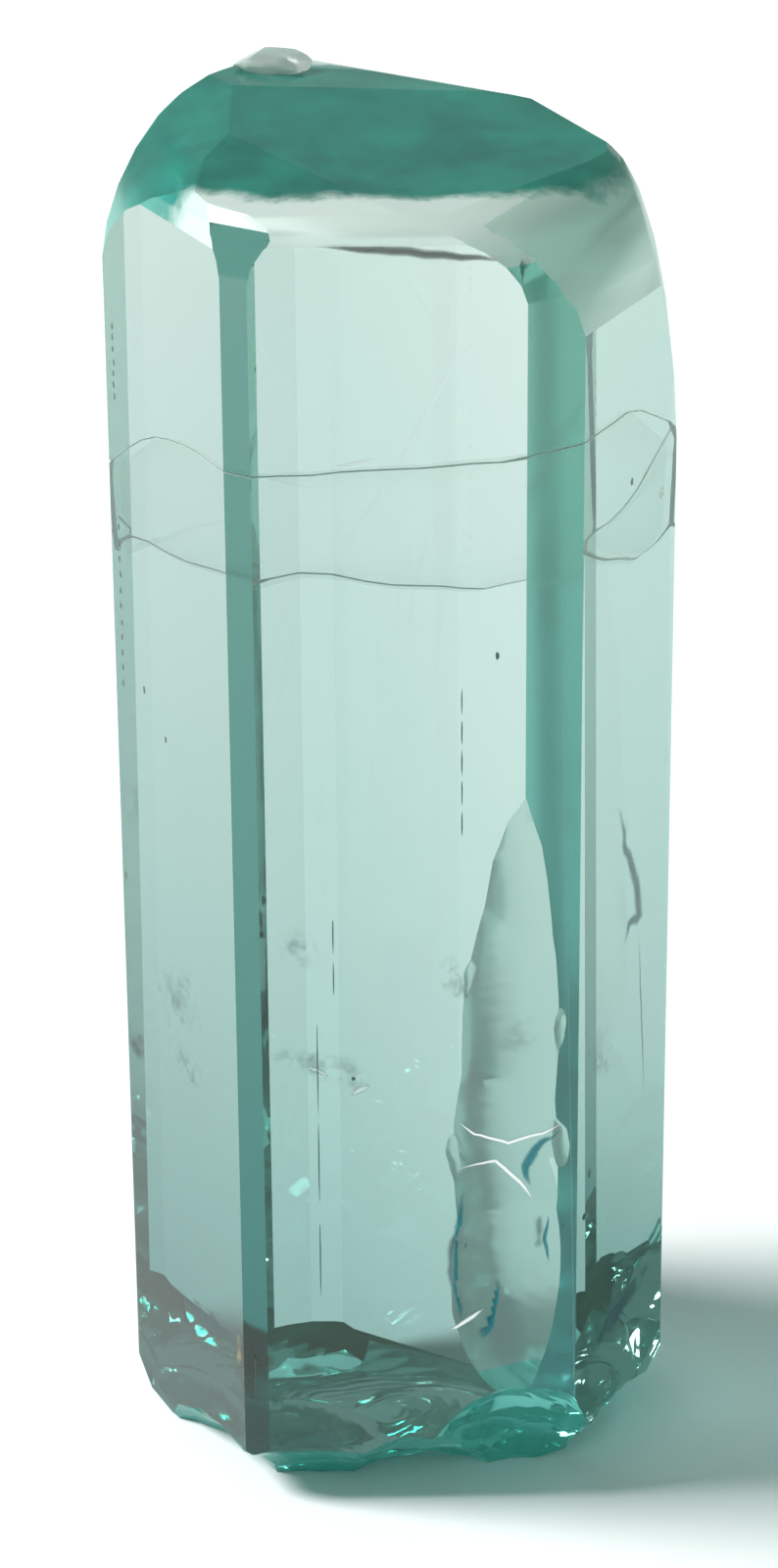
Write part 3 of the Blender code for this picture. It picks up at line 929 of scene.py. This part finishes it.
class CRYSTAL_OT_rust_and_shade(bpy.types.Operator):
    """Builds the rust stains near the break and the dark blotches of painted shade there"""

    bl_idname = "crystal.stains"
    bl_label = "Stains"

    def execute(self, context):
        colours = context.scene.crystal_colours
        rust = flaw_film("iron_stain", colours.rust)
        # The dark films are painted shade.
        dark = flaw_film("painted_shade_film", colours.shade)
        for name, values in RUST_AND_SHADE_BLOTCHES.items():
            veil_sheet(name, *values).data.materials.append(rust if "rust" in name else dark)
        return {"FINISHED"}


class CRYSTAL_OT_cracks(bpy.types.Operator):
    """Builds the open cracks, the dark ones and the line under the rim"""

    bl_idname = "crystal.cracks"
    bl_label = "Cracks"

    def execute(self, context):
        colours = context.scene.crystal_colours
        white = flaw_film("air_in_crack", colours.open_crack)
        dark = flaw_film("shaded_crack", colours.shade)
        for name, values in OPEN_CRACKS.items():
            crack_ribbon(name, *values).data.materials.append(white)
        for name, values in DARK_CRACKS.items():
            crack_ribbon(name, *values).data.materials.append(dark)
        grey = flaw_film("rim_shade", colours.rim)
        crack_ribbon("rim_line", *RIM_LINE).data.materials.append(grey)
        return {"FINISHED"}


def grain(bm, centre, side, half_width, half_height, seed):
    """Adds one uneven grain that sits in the surface, flat against it."""
    ball = bmesh.ops.create_icosphere(bm, subdivisions=2, radius=1.0)["verts"]
    turn = side.to_track_quat("Z", "Y").to_matrix()
    for vert in ball:
        lump = 1 + GRAIN_LUMP * noise.noise(vert.co * 1.7 + Vector((seed, 0, 0)))
        size = Vector((half_width, half_height, GRAIN_THICKNESS)) * MM
        vert.co = centre + turn @ (vert.co * size) * lump


def mineral_specks(bm):
    """Adds the single dark specks."""
    for seed, (face, across, height, wide, tall) in enumerate(SPECKS):
        place = on_face(face, across, height, SPECK_DEPTH)
        grain(bm, place, outward(FACE_BEARINGS[face]), wide, tall, seed)


def edge_pits(bm):
    """Adds the rows of pits on the left edge, unevenly spaced."""
    side = outward(FACE_BEARINGS["left"])
    across, depth = EDGE_PIT_PLACE
    for low, high, count in EDGE_PITS:
        for index in range(count):
            step = (high - low) * (index + 0.5) / count
            height = low + step + 0.12 * noise.noise(Vector((index, low, 0)))
            shifted = across + 0.08 * noise.noise(Vector((0, index, high)))
            grain(bm, on_face("left", shifted, height, depth), side, *EDGE_PIT_SIZE, index)


def growth_lines(bm):
    """Adds the fine broken lines along the front face."""
    side = outward(FACE_BEARINGS["front"])
    for across, low, high, count in GROWTH_LINES:
        pitch = (high - low) / count
        for index in range(count):
            place = on_face("front", across, low + pitch * (index + 0.5), GROWTH_LINE_DEPTH)
            grain(bm, place, side, GROWTH_LINE_HALF, pitch * DASH_SHARE, index + across)


class CRYSTAL_OT_specks(bpy.types.Operator):
    """Builds the dark specks, the pits on the left edge and the fine growth lines"""

    bl_idname = "crystal.specks"
    bl_label = "Specks"

    def execute(self, context):
        bm = bmesh.new()
        mineral_specks(bm)
        edge_pits(bm)
        growth_lines(bm)
        mesh = bpy.data.meshes.new("specks")
        bm.to_mesh(mesh)
        bm.free()
        piece = put_in_scene(mesh, "specks")
        mesh.materials.append(dark_speck("dark_mineral_speck"))
        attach(piece, "root")
        return {"FINISHED"}


# ---------------------------------------------------------------- the stage


def floor_card(half_width, gap, colour):
    """The level card that the crystal stands on."""
    bm = bmesh.new()
    bmesh.ops.create_grid(bm, x_segments=1, y_segments=1, size=half_width)
    bmesh.ops.translate(bm, vec=Vector((0, 0, -gap)), verts=bm.verts)
    mesh = bpy.data.meshes.new("floor")
    bm.to_mesh(mesh)
    bm.free()
    floor = put_in_scene(mesh, "floor")
    mesh.materials.append(matt_card("matt_white_card", colour))


def room_light(strength, colour):
    """The even light of a pale room."""
    world = bpy.data.worlds.new("studio")
    world.use_nodes = True
    sky = world.node_tree.nodes["Background"]
    sky.inputs["Color"].default_value = linear(colour)
    sky.inputs["Strength"].default_value = strength
    bpy.context.scene.world = world


def soft_light(name, place, aim, width, power, colour):
    """A round light that looks at a point."""
    light = bpy.data.lights.new(name, "AREA")
    light.shape = "DISK"
    light.size = width
    light.energy = power
    light.color = linear(colour)[:3]
    lamp = bpy.data.objects.new(name, light)
    lamp.location = place
    lamp.rotation_euler = (Vector(aim) - Vector(place)).to_track_quat("-Z", "Y").to_euler()
    bpy.context.scene.collection.objects.link(lamp)


def camera(aim, distance, rise, roll, focal_length):
    """The camera, in front of the crystal and above it."""
    ahead = Vector((0, math.cos(rise), -math.sin(rise)))
    right = Vector((1, 0, 0))
    upward = Vector((0, math.sin(rise), math.cos(rise)))
    side = right * math.cos(roll) + upward * math.sin(roll)
    top = upward * math.cos(roll) - right * math.sin(roll)
    lens = bpy.data.cameras.new("camera")
    lens.lens = focal_length
    lens.sensor_width = 36
    lens.clip_start = 0.005
    lens.dof.use_dof = False
    seen_from = bpy.data.objects.new("camera", lens)
    seen_from.location = Vector(aim) - ahead * distance
    seen_from.rotation_euler = Matrix((side, top, -ahead)).transposed().to_euler()
    bpy.context.scene.collection.objects.link(seen_from)
    bpy.context.scene.camera = seen_from


class CRYSTAL_OT_stage(bpy.types.Operator):
    """Sets up the pale floor, the soft light and the camera"""

    bl_idname = "crystal.stage"
    bl_label = "Stage"

    def execute(self, context):
        scene = context.scene
        sizes = scene.crystal_sizes
        colours = scene.crystal_colours
        floor_card(sizes.floor_half, sizes.floor_gap, colours.floor)
        room_light(sizes.room_strength, colours.skylight)
        soft_light("window", sizes.window_place, sizes.window_aim, sizes.window_width,
                   sizes.window_power, colours.window)
        camera(sizes.camera_aim, sizes.camera_distance, sizes.camera_rise, sizes.camera_roll,
               sizes.camera_lens)

        scene.view_settings.view_transform = "Standard"
        scene.cycles.max_bounces = 16
        scene.cycles.transmission_bounces = 16
        scene.cycles.glossy_bounces = 10
        scene.cycles.diffuse_bounces = 3
        scene.cycles.transparent_max_bounces = 12
        return {"FINISHED"}


# ---------------------------------------------------------------- add-on


class CRYSTAL_PT_panel(bpy.types.Panel):
    """Lists the crystal's pieces"""

    bl_label = "Aquamarine Crystal"
    bl_idname = "CRYSTAL_PT_panel"
    bl_space_type = "VIEW_3D"
    bl_region_type = "UI"
    bl_category = "Crystal"

    def draw(self, context):
        layout = self.layout
        for operator in OPERATORS:
            layout.operator(operator.bl_idname)


OPERATORS = (
    CRYSTAL_OT_body,
    CRYSTAL_OT_fracture,
    CRYSTAL_OT_veils,
    CRYSTAL_OT_rust_and_shade,
    CRYSTAL_OT_cracks,
    CRYSTAL_OT_specks,
    CRYSTAL_OT_stage,
)
CLASSES = (CrystalSizes, CrystalColours) + OPERATORS + (CRYSTAL_PT_panel,)


def register():
    for cls in CLASSES:
        bpy.utils.register_class(cls)
    bpy.types.Scene.crystal_sizes = PointerProperty(type=CrystalSizes)
    bpy.types.Scene.crystal_colours = PointerProperty(type=CrystalColours)


def unregister():
    del bpy.types.Scene.crystal_colours
    del bpy.types.Scene.crystal_sizes
    for cls in reversed(CLASSES):
        bpy.utils.unregister_class(cls)


def main():
    register()
    bpy.ops.crystal.body()
    bpy.ops.crystal.fracture()
    bpy.ops.crystal.veils()
    bpy.ops.crystal.stains()
    bpy.ops.crystal.cracks()
    bpy.ops.crystal.specks()
    bpy.ops.crystal.stage()


if __name__ == "__main__":
    main()
